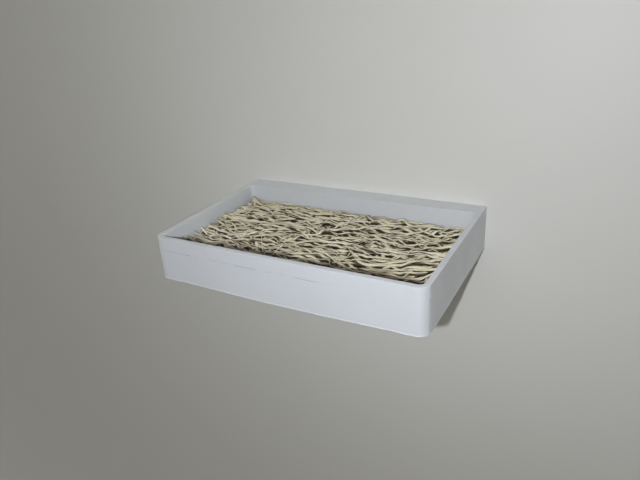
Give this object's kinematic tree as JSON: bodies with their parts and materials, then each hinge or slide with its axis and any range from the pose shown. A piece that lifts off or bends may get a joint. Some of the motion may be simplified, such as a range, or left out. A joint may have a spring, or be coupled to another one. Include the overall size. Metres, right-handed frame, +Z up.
{
  "type": "wall soap dish",
  "caption": "Shallow rectangular soap tray that lifts off a dovetail plate stuck to the wall, with a loose mat of tangled strands that keeps the soap dry.",
  "frame": {"origin": "middle of the adhesive strip's face on the wall", "axes": "+Z up, +X along the dish's width, +Y into the wall, so the dish stands out towards -Y"},
  "size_m": [0.12, 0.0804, 0.02],
  "materials": {
    "printed_white": "satin, with fine print layers",
    "mat_strand": "waxy",
    "printed_plate": "satin, with fine print layers",
    "foam_tape": "matte foam"
  },
  "bodies": {
    "wall_mount": {"wall_plate": "printed_plate", "adhesive_strip": "foam_tape"},
    "tray": {"tray": "printed_white"},
    "mat": {"strand_mat": "mat_strand"}
  },
  "joints": [
    {"name": "tray_lift", "type": "slide", "parent": "wall_mount", "child": "tray", "axis": [0, 0, 1], "range_m": [0, 0.02]},
    {"name": "mat_lift", "type": "slide", "parent": "tray", "child": "mat", "axis": [0, 0, 1], "range_m": [0, 0.04]}
  ]
}
